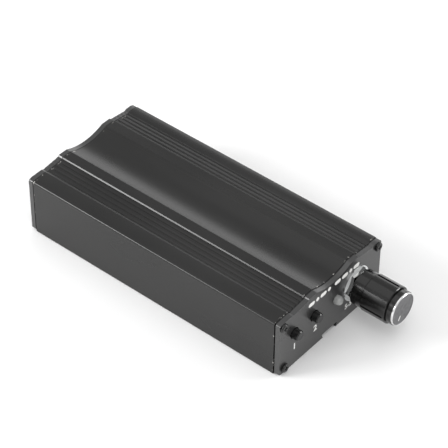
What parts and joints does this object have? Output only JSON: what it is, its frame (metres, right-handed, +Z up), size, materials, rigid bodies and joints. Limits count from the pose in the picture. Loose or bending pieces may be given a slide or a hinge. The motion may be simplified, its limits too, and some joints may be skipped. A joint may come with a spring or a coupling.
{
  "type": "morse keyer box",
  "caption": "Small black extruded aluminium keyer box with a wave-shaped top, speed knob, push buttons, lamp and rear sockets.",
  "frame": {"origin": "centre of the whole object's footprint, on the surface it rests on", "axes": "+Z up; the front plate with the knob faces -Y; +X is to the right when looking at the front plate"},
  "size_m": [0.049, 0.1208, 0.0219],
  "materials": {
    "black_anodised": "satin black anodised",
    "plate_anodised": "fine matte black anodised",
    "spacer_black": "matte",
    "black_screw": "black zinc",
    "circuit_board": "green solder mask over glass epoxy",
    "chip_plastic": "moulded epoxy",
    "tinned_metal": "tinned",
    "capacitor_sleeve": "shrink sleeve",
    "resistor_lacquer": "lacquer",
    "control_plastic": "moulded",
    "nickel_plate": "nickel plated",
    "shaft_metal": "turned",
    "contact_metal": "phosphor bronze",
    "knob_plastic": "gloss black",
    "knob_cap_metal": "spun with a bright rim",
    "pointer_white": "paint fill",
    "switch_plastic": "moulded",
    "switch_cover_metal": "plated",
    "button_plastic": "gloss black",
    "lamp_epoxy": "milky diffusing epoxy",
    "socket_plastic": "moulded"
  },
  "bodies": {
    "case": {"case_shell": "black_anodised", "front_panel": "plate_anodised", "rear_panel": "plate_anodised", "front_spacer": "spacer_black", "rear_spacer": "spacer_black", "front_screws": "black_screw", "rear_screws": "black_screw", "main_board": "circuit_board", "front_board": "circuit_board", "keyer_chip": "chip_plastic", "voltage_regulator": "chip_plastic", "output_optocoupler": "chip_plastic", "chip_socket": "chip_plastic", "board_link_strip": "chip_plastic", "sounder": "chip_plastic", "board_link_pins": "tinned_metal", "keyer_chip_legs": "tinned_metal", "lamp_leads": "tinned_metal", "control_terminals": "tinned_metal", "switch_1_legs": "tinned_metal", "switch_2_legs": "tinned_metal", "clock_crystal": "tinned_metal", "smoothing_capacitor_1": "capacitor_sleeve", "smoothing_capacitor_2": "capacitor_sleeve", "resistors": "resistor_lacquer", "control_housing": "control_plastic", "control_track": "control_plastic", "control_bushing": "nickel_plate", "control_washer": "nickel_plate", "control_nut": "nickel_plate", "key_jack_sleeve": "nickel_plate", "output_jack_sleeve": "nickel_plate", "jack_nuts": "nickel_plate", "power_socket_pin": "nickel_plate", "switch_1_base": "switch_plastic", "switch_2_base": "switch_plastic", "switch_1_cover": "switch_cover_metal", "switch_2_cover": "switch_cover_metal", "switch_1_dome": "switch_cover_metal", "switch_2_dome": "switch_cover_metal", "lamp_lens": "lamp_epoxy", "key_jack_housing": "socket_plastic", "output_jack_housing": "socket_plastic", "power_socket_housing": "socket_plastic"},
    "speed_knob": {"control_shaft": "shaft_metal", "control_rotor": "control_plastic", "control_wiper": "contact_metal", "knob_body": "knob_plastic", "knob_cap": "knob_cap_metal", "knob_pointer": "pointer_white"},
    "button_1": {"button_1": "button_plastic"},
    "button_2": {"button_2": "button_plastic"}
  },
  "joints": [
    {"name": "knob_turn", "type": "hinge", "parent": "case", "child": "speed_knob", "pos_m": [0.012, -0.05063, 0.0118], "axis": [0, 1, 0], "range_deg": [0, 300]},
    {"name": "button_1_press", "type": "slide", "parent": "case", "child": "button_1", "axis": [0, 1, 0], "range_m": [0, 0.00025], "stiffness_N_per_m": 3000, "springref_m": -0.0002},
    {"name": "button_2_press", "type": "slide", "parent": "case", "child": "button_2", "axis": [0, 1, 0], "range_m": [0, 0.00025], "stiffness_N_per_m": 3000, "springref_m": -0.0002}
  ]
}
